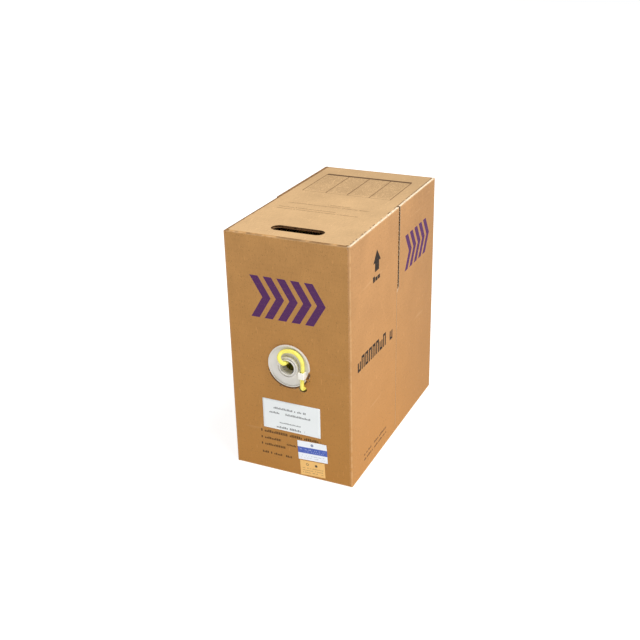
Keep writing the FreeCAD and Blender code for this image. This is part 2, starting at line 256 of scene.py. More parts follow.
def topCreaseShade(x, y, z):
    # painted shade: the broken dark line where the top turns down at its sides, heavier behind the seam
    edge = width / 2 - boardThick
    near = ease(abs(x), edge - crease["wide"], edge - crease["solid"]) * (z > height - crease["deep"])
    patches = noise(point(x * 0.2, y, z), crease["patch"], 2)
    broken = ease(patches + ease(y, 0, 12) * 0.14, 0.48, 0.56)
    return near * broken


def frontCreaseShade(x, y, z):
    # painted shade, the same along the front of the top, thinner and stronger to the right
    near = ease(z, height - crease["frontWide"], height - crease["frontSolid"])
    broken = ease(noise(point(x, y, z), crease["patch"] * 2, 2) + x * 0.0012, 0.4, 0.6)
    return near * broken


def tubeShadow(x, z):
    # a painted shadow in a crescent under the feed tube's flange
    fromTube = z - tubeCentre.z
    around = distance(x + flangeShadow["left"], fromTube + flangeShadow["drop"])
    broken = ease(noise(point(x, x * 0, z), flangeShadow["patch"], 2) - fromTube * 0.008, 0.56, 0.68)
    crescent = within(around, tubeHigh.x - flangeShadow["under"], tubeHigh.x + flangeShadow["past"])
    return crescent * broken * (fromTube < -flangeShadow["below"])


madeUp = {"oneRow": 1000, "rowSeed": 37, "placeSeed": 3.1, "shortFrom": 0.55, "shortBy": 0.3, "openFrom": 0.5,
          "duty": 0.74, "gaps": 0.16}


def madeUpLines(across, up, block):
    # rows of uneven blocks with word gaps, which stand for print and spell nothing; a stroke makes them hollow
    top, tall, cell = block["top"], block["tall"], block["cell"]
    pitch, rows = block.get("rowPitch", madeUp["oneRow"]), block.get("rows", 1)
    row = whole((top - up) / pitch)
    down = top - up - row * pitch
    column = (across - block["left"]) / cell
    pick = chance(whole(column) + row * madeUp["rowSeed"] + block["left"] * madeUp["placeSeed"])
    body = down > tall * madeUp["shortBy"] * (pick > madeUp["shortFrom"])
    foot = top - (rows - 1) * pitch - tall
    inside = within(across, block["left"], block["right"]) * within(up, foot, top)
    if "stroke" in block:
        wall = block["stroke"]
        hollow = within(part(column) * cell, wall, cell * block["duty"] - wall)
        hollow = hollow * within(down, wall, tall - wall * (pick > madeUp["openFrom"]))
        body = body * (1 - hollow)
    body = body * (part(column) < block.get("duty", madeUp["duty"]))
    return inside * (down < tall) * body * (pick > block.get("gaps", madeUp["gaps"]))


def total(masks):
    result = masks[0]
    for mask in masks[1:]:
        result = larger(result, mask)
    return result


frontPrint = {
    "mark": {"left": -60, "middle": 294, "tall": 66, "slope": 0.6, "pitch": 22, "count": 5, "duty": 0.62},
    "lines": [
        {"left": -54, "right": 49, "top": 70, "tall": 4.6, "cell": 3.1},
        {"left": -54, "right": -20, "top": 57.5, "tall": 4, "cell": 3},
        {"left": -10, "right": 7, "top": 52.5, "tall": 3.4, "cell": 2.4},
        {"left": -54, "right": -12, "top": 46, "tall": 4, "cell": 3},
        {"left": -53, "right": -2, "top": 31, "tall": 3.8, "cell": 2.9},
    ],
}


def printAndShadeFront(x, y, z):
    lines = total([madeUpLines(x, z, block) for block in frontPrint["lines"]])
    # the last two marks are painted shade: a dark line along the top's front fold and a shadow under the feed
    # tube's flange
    return [(chevrons(x, z, frontPrint["mark"]), inkAndShade["purple"]), (lines * 0.8, inkAndShade["black"]),
            (frontCreaseShade(x, y, z) * 0.6, inkAndShade["crease"]), (tubeShadow(x, z) * 0.85, inkAndShade["crease"])]


sidePrint = {
    "mark": {"left": 38, "middle": 304, "tall": 60, "slope": 0.6, "pitch": 21, "count": 5, "duty": 0.62},
    "arrowMiddle": -81, "arrowTip": 353, "headFoot": 334, "shaftFoot": 320, "headHalf": 14.5, "shaftHalf": 8,
    "title": {"left": -156, "right": -12, "top": 207, "tall": 22, "cell": 14.4, "gaps": 0.04, "duty": 0.82,
              "stroke": 4.2},
    "titleSlope": 0.03, "seamAt": 3, "seamFoot": 251, "seamWide": 1.4,
    "bar": {"left": -97, "right": -68, "top": 314, "tall": 9, "cell": 9.6, "gaps": 0.0, "duty": 0.86},
    "lines": {"left": -133, "right": -39, "top": 33, "tall": 4, "cell": 3, "rowPitch": 9, "rows": 2,
              "gaps": 0.22},
}


def arrow(across, up):
    # this way up
    side = abs(across - sidePrint["arrowMiddle"])
    tip, foot, half = sidePrint["arrowTip"], sidePrint["headFoot"], sidePrint["headHalf"]
    head = (side < (tip - up) * (half / (tip - foot))) * (up > foot)
    shaft = (side < sidePrint["shaftHalf"]) * within(up, sidePrint["shaftFoot"], foot + 1)
    return larger(head, shaft)


def printSide(x, y, z):
    level = z + (y - sidePrint["title"]["left"]) * sidePrint["titleSlope"]
    solid = total([arrow(y, z), madeUpLines(y, level, sidePrint["title"]),
                   madeUpLines(y, z, sidePrint["bar"])])
    # the closed part of the right side's seam
    seam = stroke(y, sidePrint["seamAt"], sidePrint["seamWide"]) * (z < sidePrint["seamFoot"]) * (x > 0)
    small = madeUpLines(y, z, sidePrint["lines"])
    return [(chevrons(y, z, sidePrint["mark"]), inkAndShade["purple"]), (solid, inkAndShade["black"]),
            (small * 0.8, inkAndShade["black"]), (seam * 0.5, inkAndShade["crease"])]


topPrint = {
    "table": {"left": -77, "right": 74, "near": 37, "far": 136, "dividers": (-36, 1, 39),
              "nearThick": 0.7, "farThick": 7, "uprightThick": 1.5},
    "tablePrint": {"left": -74, "right": 71, "top": 130, "tall": 2, "cell": 2.2, "rowPitch": 4.6, "rows": 19,
                   "gaps": 0.2},
    "lines": [{"left": left, "right": right, "top": top, "tall": 2.8, "cell": 2.4, "gaps": 0.06, "duty": 0.88}
              for left, right, top in ((-6, 34, -19), (-70, 66, -26), (-75, 20, -48), (-75, 60, -56))],
}


def printAndShadeTop(x, y, z):
    table = topPrint["table"]
    along = within(x, table["left"], table["right"])
    nearLine = along * stroke(y, table["near"], table["nearThick"])
    farLine = along * stroke(y, table["far"], table["farThick"])
    edges = (table["left"], *table["dividers"], table["right"])
    uprights = total([stroke(x, edge, table["uprightThick"]) for edge in edges])
    uprights = uprights * within(y, table["near"], table["far"])
    lines = total([madeUpLines(x, y, block) for block in (topPrint["tablePrint"], *topPrint["lines"])])
    # the last mark is painted shade along the top's side folds
    return [(lines * 0.5, inkAndShade["faded"]), (larger(nearLine, uprights) * 0.85, inkAndShade["faded"]),
            (farLine * 0.9, inkAndShade["crease"]), (topCreaseShade(x, y, z) * 0.85, inkAndShade["crease"])]


def printBack(x, y, z):
    return [(chevrons(-1 * x, z, frontPrint["mark"]), inkAndShade["purple"])]


# front, side and top are one kraft in painted light and shade: the top is the lit copy, the side a little
# shaded and the front the most shaded copy; dull is how much painted shade darkens the board towards the back
kraft = {"front": paint(184, 136, 80), "side": paint(189, 141, 92), "top": paint(200, 164, 119),
         "inside": paint(186, 148, 104), "worn": paint(232, 196, 150), "wornWide": 3.2, "flutePitch": 7.9,
         "low": (0.94, 0.81, 0.5), "dull": 0.38}


def kraftRecipe(tone, along, across, inksAndShade=None):
    # the flutes run along one axis and the paper's fibres along the other
    def recipe(x, y, z):
        axes = {"x": x, "y": y, "z": z}
        place = point(x, y, z)
        streaks = point(*(axes[key] * (0.16 if key == across else 1) for key in "xyz"))
        wash = sine(axes[across] * (2 * math.pi / kraft["flutePitch"]))
        clouds = noise(place, 45, 3)
        fibre = noise(streaks, 1.1, 3)
        grain = noise(place, 0.55, 2)
        shade = 0.5 + (clouds - 0.5) * 1.1 + (fibre - 0.5) * 0.8 + (grain - 0.5) * 0.7 + wash * 0.035
        colour = blend(shade, shaded(tone, 0.84), shaded(tone, 1.16))
        # browner low down, and painted shade: darker towards the back
        low = tuple(value * share for value, share in zip(tone, kraft["low"])) + (1.0,)
        colour = blend((1 - z / height) * 0.9, colour, low)
        colour = blend(ease(y, -60, 180) * kraft["dull"], colour, shaded(tone, 0.6))
        flecks = ease(noise(place, 1.6, 0), 0.72, 0.78)
        colour = blend(flecks * 0.45, colour, shaded(tone, 0.5))
        pale = ease(noise(streaks, 2.2, 1), 0.69, 0.76)
        colour = blend(pale * 0.3, colour, shaded(tone, 1.5))
        # folds rub pale: near an edge, two faces of the carton are close
        nearX, nearY, nearZ = (1 - ease(gap, 0, kraft["wornWide"]) for gap in (
            width / 2 - abs(x), depth / 2 - abs(y), smaller(z, height - z)))
        fold = larger(larger(nearX * nearY, nearY * nearZ), nearX * nearZ)
        rubbed = fold * ease(noise(place, 9, 3) + fold * 0.25, 0.35, 0.75)
        colour = blend(rubbed * 0.45, colour, kraft["worn"])
        rubs = point(*(axes[key] * (0.08 if key == along else 1) for key in "xyz"))
        scuff = ease(noise(rubs, 14, 2), 0.66, 0.74)
        colour = blend(scuff * 0.12, colour, kraft["worn"])
        covered = None
        # print and painted shade laid over the kraft
        for mask, inkAndShadeColour in (inksAndShade(x, y, z) if inksAndShade else ()):
            worn = ease(grain + wash * 0.03, 0.2, 0.36) * inkAndShade["coverage"]
            covered = mask * worn
            colour = blend(covered, colour, inkAndShadeColour)
        relief = fibre * 0.05 + grain * 0.05 + wash * 0.03 + clouds * 0.25
        rough = 0.86 - grain * 0.12 - (covered * 0.12 if covered else 0)
        return {"Base Color": colour, "Roughness": rough, "Normal": bump(relief)}
    return recipe


def rawEdgeRecipe(dark, light):
    # cut board: furry and uneven
    def recipe(x, y, z):
        place = point(x, y, z)
        fur = noise(place, 0.7, 3)
        patches = noise(place, 6, 2)
        colour = blend(fur * 0.6 + patches * 0.5 - 0.05, dark, light)
        return {"Base Color": colour, "Roughness": 0.95 - fur * 0.1, "Normal": bump(fur * 0.2)}
    return recipe


def plasticRecipe(dark, light, rough, dirt=0.0):
    # moulded plastic: flow clouds, a fine skin and a little dust in patches
    def recipe(x, y, z):
        place = point(x, y, z)
        flow = noise(place, 14, 2)
        skin = noise(place, 0.6, 2)
        colour = blend(flow * 0.8 + skin * 0.2, dark, light)
        dust = ease(noise(place, 3.5, 3), 0.5, 0.8)
        colour = blend(dust * dirt, colour, shaded(dark, 0.6))
        return {"Base Color": colour, "Roughness": rough + skin * 0.14 + dust * 0.1,
                "Normal": bump(skin * 0.02 + flow * 0.1)}
    return recipe


def jacketRecipe(x, y, z):
    # extruded cable jacket: a dull shine, faint core lumps and handling marks
    place = point(x, y, z)
    clouds = noise(place, 9, 2)
    skin = noise(place, 0.5, 2)
    colour = blend(clouds, paint(244, 226, 84), paint(255, 248, 126))
    marks = ease(noise(place, 2.4, 3), 0.62, 0.76)
    colour = blend(marks * 0.2, colour, paint(190, 164, 50))
    return {"Base Color": colour, "Roughness": 0.34 + skin * 0.16 + marks * 0.15,
            "Normal": bump(clouds * 0.25 + skin * 0.015)}


def plywoodRecipe(x, y, z):
    # the discs' faces show grain and their rims show the plies
    radius = distance(y, z - axleHeight)
    grain = noise(point(x, y * 0.9, z * 0.05), 2.6, 4)
    rings = part(noise(point(x * 0.3, y * 0.5, z * 0.03), 30, 3) * 9)
    face = blend(grain * 0.6 + rings * 0.35, paint(176, 132, 84), paint(226, 190, 142))
    plies = part(abs(x) / 2.4) > 0.5
    rim = blend(plies, paint(132, 92, 56), paint(206, 166, 116))
    colour = blend(radius > cad("left_spool_flange")[1].y - 0.4, face, rim)
    return {"Base Color": colour, "Roughness": 0.62 + grain * 0.2, "Normal": bump(grain * 0.12 + rings * 0.05)}


def steelRecipe(x, y, z):
    # drawn, zinc-plated steel
    place = point(x * 0.05, y, z)
    drawn = noise(place, 0.5, 3)
    spots = ease(noise(point(x, y, z), 4, 3), 0.6, 0.75)
    colour = blend(drawn * 0.7 + spots * 0.3, paint(150, 152, 156), paint(208, 210, 214))
    return {"Base Color": colour, "Roughness": 0.24 + drawn * 0.2 + spots * 0.15, "Normal": bump(drawn * 0.02)}


def coreRecipe(x, y, z):
    # a wound paper tube with its spiral seam
    angle = x.calc("ARCTAN2", y, z - axleHeight)
    spiral = part(x / 60 + angle / (2 * math.pi))
    seam = (spiral < 0.02)
    fibre = noise(point(x, y, z), 1.2, 3)
    colour = blend(fibre, paint(158, 122, 84), paint(196, 160, 118))
    colour = blend(seam, colour, paint(96, 70, 46))
    return {"Base Color": colour, "Roughness": 0.88 - fibre * 0.1, "Normal": bump(fibre * 0.08 - seam * 0.3)}


def floorRecipe(x, y, z):
    grain = noise(point(x, y, z), 60, 3)
    return {"Base Color": blend(grain, paint(148, 148, 148), paint(154, 154, 154)),
            "Roughness": 0.8 + grain * 0.1}


flat = {"Specular_IOR_Level": 0.25}
finishes = {
    "front": makeMaterial("kraft front", kraftRecipe(kraft["front"], "x", "z", printAndShadeFront), **flat),
    "back": makeMaterial("kraft back", kraftRecipe(kraft["front"], "x", "z", printBack), **flat),
    "top": makeMaterial("kraft top", kraftRecipe(kraft["top"], "x", "y", printAndShadeTop), **flat),
    "bottom": makeMaterial("kraft bottom", kraftRecipe(kraft["top"], "x", "y"), **flat),
    "side": makeMaterial("kraft side", kraftRecipe(kraft["side"], "y", "z", printSide), **flat),
    "inside": makeMaterial("kraft inside", kraftRecipe(kraft["inside"], "z", "y"), **flat),
    # the cut edge in two copies: the bright one is the edge's own pale colour pushed up to a painted highlight,
    # the other is the same edge darkened as painted shade
    "raw": makeMaterial("lit cut board edge", rawEdgeRecipe(paint(222, 186, 140), paint(255, 246, 226)), **flat),
    "shadedRaw": makeMaterial("shaded cut edge", rawEdgeRecipe(paint(104, 70, 40), paint(176, 132, 90)), **flat),
    "white": makeMaterial("white moulding",
                          plasticRecipe(paint(212, 207, 198), paint(232, 229, 222), 0.3, 0.1)),
    "clip": makeMaterial("clip moulding",
                         plasticRecipe(paint(240, 236, 224), paint(252, 249, 240), 0.3, 0.03)),
    "black": makeMaterial("black moulding", plasticRecipe(paint(28, 28, 30), paint(44, 44, 46), 0.35)),
    "jacket": makeMaterial("yellow cable jacket", jacketRecipe, Subsurface_Weight=0.05),
    "plywood": makeMaterial("plywood", plywoodRecipe),
    "steel": makeMaterial("plated steel", steelRecipe, Metallic=1.0),
    "core": makeMaterial("wound core board", coreRecipe, **flat),
    "floor": makeMaterial("lit floor", floorRecipe, Emission_Color=(1, 1, 1, 1), Emission_Strength=0.85),
}
print("finishes ready:", len(finishes))


def rectangle(left, right, bottom, top):
    return [(left, bottom), (right, bottom), (right, top), (left, top)]


def arc(across, up, radius, start, end, steps):
    angles = [math.radians(start + (end - start) * step / steps) for step in range(steps + 1)]
    return [(across + radius * math.cos(angle), up + radius * math.sin(angle)) for angle in angles]


def ring(across, up, radius, steps=64):
    return arc(across, up, radius, 0, 360, steps)[:-1]


def slot(left, right, bottom, top):
    # a long hole with round ends
    radius, middle = (top - bottom) / 2, (top + bottom) / 2
    return arc(right - radius, middle, radius, -90, 90, 12) + arc(left + radius, middle, radius, 90, 270, 12)


def counterClockwise(loop):
    return sum(a[0] * b[1] - b[0] * a[1] for a, b in zip(loop, loop[1:] + loop[:1])) > 0


def plate(mesh, plane, loops, lower, upper, finish):
    # a flat sheet: its first loop is the outline and the rest are holes; finish has the materials of its low
    # face, its high face and its edges
    origin, u, v, n = plane
    loops = [loop if counterClockwise(loop) == (k == 0) else loop[::-1] for k, loop in enumerate(loops)]
    flatPoints = [spot for loop in loops for spot in loop]
    layers = [[mesh.verts.new(origin + u * a + v * b + n * level) for a, b in flatPoints]
              for level in (lower, upper)]
    for a, b, c in tessellate_polygon([[Vector((*spot, 0)) for spot in loop] for loop in loops]):
        for layer, index in zip(layers, finish):
            mesh.faces.new((layer[a], layer[b], layer[c])).material_index = index
    first = 0
    for loop in loops:
        for k in range(len(loop)):
            a, b = first + k, first + (k + 1) % len(loop)
            wall = mesh.faces.new((layers[0][a], layers[0][b], layers[1][b], layers[1][a]))
            wall.material_index = finish[2]
        first += len(loop)


def spansAt(loops, v):
    # where a line along the flutes lies inside the outline
    cuts = sorted(a[0] + (b[0] - a[0]) * (v - a[1]) / (b[1] - a[1])
                  for loop in loops for a, b in zip(loop, loop[1:] + loop[:1]) if (a[1] > v) != (b[1] > v))
    return list(zip(cuts[::2], cuts[1::2]))


def tube(mesh, rings, closed, finish=0):
    # skins a row of point loops, with end caps unless it closes on itself
    made = [[mesh.verts.new(spot) for spot in loop] for loop in rings]
    for before, after in zip(made, made[1:] + (made[:1] if closed else [])):
        for k in range(len(before)):
            j = (k + 1) % len(before)
            mesh.faces.new((before[k], before[j], after[j], after[k])).material_index = finish
    if not closed:
        for cap in (made[0], made[-1]):
            mesh.faces.new(cap).material_index = finish


def rounded(loop, radius, steps=4):
    # rounds each corner of a closed loop, less where its sides are short
    result = []
    spots = [Vector(spot) for spot in loop]
    for before, corner, after in zip(spots[-1:] + spots[:-1], spots, spots[1:] + spots[:1]):
        reach = min(radius, 0.45 * (before - corner).length, 0.45 * (after - corner).length)
        start = corner + (before - corner).normalized() * reach
        end = corner + (after - corner).normalized() * reach
        for step in range(steps + 1):
            share = step / steps
            result.append(tuple(start.lerp(corner, share).lerp(corner.lerp(end, share), share)))
    return result


def lathe(mesh, centre, outward, profile, steps=96, change=None, finish=0):
    # turns (radius, along) points about an axis through centre; change may move them at each angle
    side = Vector((0, 0, 1))
    across = side.cross(outward)
    rings = []
    for step in range(steps):
        angle = 2 * math.pi * step / steps
        spoke = across * math.cos(angle) + side * math.sin(angle)
        spots = [change(angle, *spot) for spot in profile] if change else profile
        rings.append([centre + spoke * radius + outward * along for radius, along in spots])
    tube(mesh, rings, True, finish)


def meshData(name, mesh):
    # from millimetres to metres
    bmesh.ops.scale(mesh, vec=(0.001, 0.001, 0.001), verts=mesh.verts)
    data = bpy.data.meshes.new(name)
    mesh.to_mesh(data)
    mesh.free()
    return data


def makePiece(name, mesh, body, nodes, materials, sharp=35):
    bmesh.ops.recalc_face_normals(mesh, faces=mesh.faces)
    data = meshData(name, mesh)
    data.shade_smooth()
    data.set_sharp_from_angle(angle=math.radians(sharp))
    for key in materials:
        data.materials.append(finishes[key])
    return mount(bpy.data.objects.new(name, data), body, nodes)


def mount(piece, body, nodes):
    scene.collection.objects.link(piece)
    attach(piece, body)
    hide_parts(*nodes)
    return piece


corrugated = {"liner": 0.45, "ply": 0.3, "samples": 10, "inset": 0.3, "shortest": 2, "edgeGap": 0.05,
              "tearLong": (5, 24), "tearGap": (0.8, 3.5), "tearDeep": (0.1, 0.5), "tearSlack": (0, 0.5),
              "foldThick": 2.2, "foldSteps": 8}
axisX, axisY, axisZ = Vector((1, 0, 0)), Vector((0, 1, 0)), Vector((0, 0, 1))
outerFaces = {
    "front": (Vector((0, -depth / 2, 0)), axisX, axisZ, -axisY),
    "back": (Vector((0, depth / 2, 0)), -axisX, axisZ, axisY),
    "top": (Vector((0, 0, height)), axisX, axisY, axisZ),
    "bottom": (Vector((0, 0, 0)), axisX, -axisY, -axisZ),
    "right": (Vector((width / 2, 0, 0)), axisY, axisZ, axisX),
    "left": (Vector((-width / 2, 0, 0)), -axisY, axisZ, -axisX),
}


def flutes(mesh, plane, loops, lower, upper):
    # the wavy middle ply: ribbons wherever there is board, with the flutes along the plane's first axis
    origin, u, v, n = plane
    middle, swing = (lower + upper) / 2, (upper - lower - corrugated["ply"]) / 2
    bottom, top = (pick(spot[1] for spot in loops[0]) for pick in (min, max))
    count = round((top - bottom) / kraft["flutePitch"] * corrugated["samples"])
    runs = []
    for step in range(count + 1):
        at = bottom + corrugated["edgeGap"] + (top - bottom - 2 * corrugated["edgeGap"]) * step / count
        level = middle + swing * math.cos(2 * math.pi * at / kraft["flutePitch"])
        spans = [(a + corrugated["inset"], b - corrugated["inset"]) for a, b in spansAt(loops, at)
                 if b - a > corrugated["shortest"]]
        if not runs or len(runs[-1]) != len(spans):
            runs.append([[] for span in spans])
        for rings, (a, b) in zip(runs[-1], spans):
            rings.append([origin + v * at + u * c + n * (level + side * corrugated["ply"] / 2)
                          for c, side in ((a, -1), (b, -1), (b, 1), (a, 1))])
    for run in runs:
        for rings in run:
            if len(rings) > 1:
                tube(mesh, rings, False, 1)


def tornEdge(mesh, plane, start, end, at, inward, lower, upper, dice):
    # crushed flutes along an edge that was cut along them, as short uneven strips between the liners
    spot = start + dice.uniform(*corrugated["tearGap"])
    while spot < end - 4:
        stop = min(end - 0.5, spot + dice.uniform(*corrugated["tearLong"]))
        near, far, back = (dice.uniform(*corrugated["tearDeep"]) for side in range(3))
        strip = [(spot, at + inward * near), (stop, at + inward * far),
                 (stop - 0.6, at + inward * (far + 0.4)), (spot + 0.6, at + inward * (near + 0.3 + back / 4))]
        plate(mesh, plane, [strip], lower + dice.uniform(*corrugated["tearSlack"]),
              upper - dice.uniform(*corrugated["tearSlack"]), (1, 1, 1))
        spot = stop + dice.uniform(*corrugated["tearGap"])


def board(mesh, plane, loops, dice, nicks=(), walls=1, tearFrom=15):
    # liners and flutes, with torn strips along the cut edges longer than tearFrom; nicks are cuts through the
    # outer liner only, and a double wall has one more ply and liner
    liner = corrugated["liner"]
    plate(mesh, plane, [*loops, *nicks], -liner, 0, (2, 0, 1))
    for wall in range(walls):
        lower = -boardThick * (wall + 1)
        upper = -boardThick * wall - (liner if wall == 0 else 0)
        plate(mesh, plane, loops, lower, lower + liner, (2, 2, 1))
        flutes(mesh, plane, loops, lower + liner, upper)
        for k, loop in enumerate(loops):
            for (a, b), (c, d) in zip(loop, loop[1:] + loop[:1]):
                if abs(b - d) < 0.01 and abs(a - c) > tearFrom:
                    middle = sum(spot[1] for spot in loop) / len(loop)
                    inward = (1 if b < middle else -1) * (1 if k == 0 else -1)
                    tornEdge(mesh, plane, min(a, c), max(a, c), b, inward, lower + liner, upper, dice)


def fold(mesh, corner, a, b, along, start, end, radius):
    # crushed board bent round a carton corner, from one board's thickness before it to one after
    thick, steps = corrugated["foldThick"], corrugated["foldSteps"]
    rims = []
    for bendRadius, inset in ((radius, 0), (max(radius, thick + 0.3), thick)):
        centre = corner + (a + b) * bendRadius
        bend = [centre - (b * math.cos(angle) + a * math.sin(angle)) * (bendRadius - inset)
                for angle in (math.pi / 2 * step / steps for step in range(steps + 1))]
        rims.append([corner + a * boardThick + b * inset, *bend, corner + b * boardThick + a * inset])
    rings = [[spot + along * level for spot in rims[0] + rims[1][::-1]] for level in (start, end)]
    first = len(mesh.faces)
    tube(mesh, rings, False, 0)
    mesh.faces.ensure_lookup_table()
    for cap in mesh.faces[len(mesh.faces) - 2:]:
        cap.material_index = 1
    for k in range(first + len(rims[0]), len(mesh.faces) - 2):
        mesh.faces[k].material_index = 2


carton = {"cornerSlot": 0.8, "endSlot": 1.5, "bottomShort": 0.8, "flatFold": 1.4, "uprightFold": 3,
          "foldPlay": 0.08, "seamStep": (sidePrint["seamFoot"], 259), "seamLap": 0.6, "leftTopDrop": 1.6,
          "ringLap": 7, "axlePlay": 0.08, "panelTearFrom": 30, "nickCorners": 9,
          "notch": {"across": 22, "drop": 35.5, "radius": 5.5, "torn": 1.4, "corners": 24},
          "handHole": {"wide": 22, "gap": 0.5},
          "nicks": [(-16.5, -37.2, 1.7, 1.2), (-12.5, -38, 1.2, 0.8), (7.5, -37.3, 2.6, 0.8),
                    (32.6, -12.5, 1.3, 2.6), (31.8, -20.5, 0.9, 1.6)]}


def flatFolds(mesh, y, inward):
    # the folds at the foot and the top of the front or the back
    reach = width / 2 - boardThick - carton["cornerSlot"]
    for z, up in ((0, 1), (height, -1)):
        fold(mesh, Vector((0, y, z)), axisZ * up, inward, axisX, -reach, reach, carton["flatFold"])


def makeCarton():
    side, half, rim = width / 2 - boardThick, depth / 2 - boardThick, height - boardThick
    body = "carton"

    # front: the hole for the feed tube, the notch for the cable's end and small tears in its liner
    mesh, dice = bmesh.new(), random.Random(11)
    centre = tubeCentre.z
    holeRadius = cad("tube_lock_ring")[1].x - carton["ringLap"]
    notch, endSlot = carton["notch"], carton["endSlot"]
    loops = [rectangle(-side, side, boardThick, rim), ring(0, centre, holeRadius),
             [(x * notch["torn"] * dice.uniform(0.94, 1.04) + notch["across"] if x < 0 else x + notch["across"],
               z + centre - notch["drop"]) for x, z in ring(0, 0, notch["radius"], notch["corners"])]]
    turns = [2 * math.pi * k / carton["nickCorners"] for k in range(carton["nickCorners"])]
    nicks = [[(x + dice.uniform(0.75, 1.2) * wide * math.cos(turn),
               centre + z + dice.uniform(0.7, 1.2) * tall * math.sin(turn)) for turn in turns]
             for x, z, wide, tall in carton["nicks"]]
    board(mesh, outerFaces["front"], loops, dice, nicks, tearFrom=math.inf)
    flatFolds(mesh, -depth / 2, axisY)
    makePiece("front_panel_board", mesh, body, ["front_panel"], ("front", "raw", "inside"))

    mesh, dice = bmesh.new(), random.Random(12)
    board(mesh, outerFaces["back"], [rectangle(-side, side, boardThick, rim)], dice, tearFrom=math.inf)
    flatFolds(mesh, depth / 2, -axisY)
    makePiece("back_panel_board", mesh, body, ["back_panel"], ("back", "raw", "inside"))

    # top and bottom bend down and up into the inner flaps along their sides
    hole, near = carton["handHole"], hinge("hand_hole_flap_fold")[0].y
    flapLow, flapHigh = cad("hand_hole_flap")
    handHole = slot(flapLow.x - hole["gap"], flapHigh.x + hole["gap"], near, near + hole["wide"])
    flatSide = side - boardThick
    topLoops = [rectangle(-flatSide, flatSide, -half, half), handHole]
    bottomLoops = [rectangle(-flatSide, flatSide, carton["bottomShort"] - half, half)]
    for name, z, up, loops in (("top", height, -1, topLoops), ("bottom", 0, 1, bottomLoops)):
        mesh, dice = bmesh.new(), random.Random(len(name))
        board(mesh, outerFaces[name], loops, dice, tearFrom=carton["panelTearFrom"])
        for sign in (1, -1):
            fold(mesh, Vector((side * sign, 0, z)), axisX * -sign, axisZ * up, axisY, endSlot - half,
                 half - endSlot, carton["flatFold"])
        # the top's and bottom's cut edges, the hand hole's among them, take the painted-shade copy
        makePiece(f"{name}_panel_board", mesh, body, [f"{name}_panel"],
                  (name, "shadedRaw", "inside"))

    for sign, name in ((1, "right"), (-1, "left")):
        for end in ("top", "bottom"):
            node = f"{name}_{end}_inner_flap"
            lower, upper = cad(node)
            plane = (Vector((side * sign, 0, 0)), axisZ, -axisY * sign, axisX * sign)
            mesh, dice = bmesh.new(), random.Random(len(node))
            foot, head = (lower.z, rim) if end == "top" else (boardThick, upper.z)
            board(mesh, plane, [rectangle(foot, head, lower.y, upper.y)], dice)
            makePiece(f"{node}_board", mesh, body, [node], ("inside", "raw", "inside"))

        node = f"{name}_axle_pad"
        lower, upper = cad(node)
        plane = (Vector(((side - boardThick) * sign, 0, 0)), axisZ, -axisY * sign, axisX * sign)
        mesh, dice = bmesh.new(), random.Random(len(node))
        hole = ring(axleHeight, 0, cad("axle_tube")[1].y + carton["axlePlay"])
        board(mesh, plane, [rectangle(lower.z, upper.z, lower.y, upper.y), hole], dice, walls=2)
        makePiece(f"{node}_board", mesh, body, [node], ("inside", "raw", "inside"))

    lower, upper = cad("glue_tab")
    mesh, dice = bmesh.new(), random.Random(3)
    plane = (Vector((0, 0, upper.z)), axisX, axisY, axisZ)
    board(mesh, plane, [rectangle(lower.x, upper.x, lower.y, upper.y)], dice)
    makePiece("glue_tab_board", mesh, body, ["glue_tab"], ("inside", "raw", "inside"))
    print("carton ready")


def makeSideFlaps():
    # the outer flaps, each bent round its upright fold; the right-hand seam gapes above its foot
    foot, step = carton["seamStep"]
    half = depth / 2 - boardThick
    for sign, side in ((1, "right"), (-1, "left")):
        frontLow, frontHigh = cad(f"{side}_front_flap")
        rearLow, rearHigh = cad(f"{side}_rear_flap")
        if side == "right":
            lean = frontHigh.y - rearLow.y + carton["seamLap"]
            start = frontHigh.y - lean
            frontSeam = [(start, 0), (start, foot), (start + lean / 2, step), (frontHigh.y, height)]
            rear = rearLow.y
            rearSeam = [(rear, 0), (rear, foot), (rear + lean / 2 + lean, step), (rear + 2 * lean, height)]
        else:
            frontSeam = [(frontHigh.y, 0), (frontHigh.y, height - carton["leftTopDrop"])]
            rearSeam = [(rearLow.y, 0), (rearLow.y, height)]
        for end, seam, far in (("front", frontSeam, -half), ("rear", rearSeam, half)):
            node = f"{side}_{end}_flap"
            mesh, dice = bmesh.new(), random.Random(len(node) + sign)
            top = seam[-1][1]
            loop = [(y * sign, z) for y, z in [*seam, (far, top), (far, 0)]]
            board(mesh, outerFaces[side], [loop], dice)
            corner = Vector((width / 2 * sign, math.copysign(depth / 2 - carton["foldPlay"], far), 0))
            fold(mesh, corner, axisX * -sign, axisY * -math.copysign(1, far), axisZ, 0, top,
                 carton["uprightFold"])
            # the right flaps' cut edges take the bright copy with its painted highlight, the left flaps' the
            # painted-shade copy
            cutEdge = "raw" if side == "right" else "shadedRaw"
            makePiece(f"{node}_board", mesh, node, [node], ("side", cutEdge, "inside"))
    print("side flaps ready")


def makeHandHoleFlap():
    # it is hinged on the front edge of the hole and hangs inside, its outer face turned to the back
    spot, (unfolded, _) = hinge("hand_hole_flap_fold")
    lower, upper = cad("hand_hole_flap")
    outward = Vector((0, math.sin(-unfolded), math.cos(-unfolded)))
    plane = (Vector((0, spot.y, spot.z)) + outward * boardThick, axisX,
             Vector((0, math.cos(-unfolded), -math.sin(-unfolded))), outward)
    hole = carton["handHole"]
    outline = slot(lower.x, upper.x, hole["gap"], hole["wide"] - hole["gap"])
    mesh = bmesh.new()
    board(mesh, plane, [outline], random.Random(7), tearFrom=carton["panelTearFrom"])
    makePiece("hand_hole_flap_board", mesh, "hand_hole_flap", ["hand_hole_flap"],
              ("top", "raw", "inside"))
    print("hand hole flap ready")


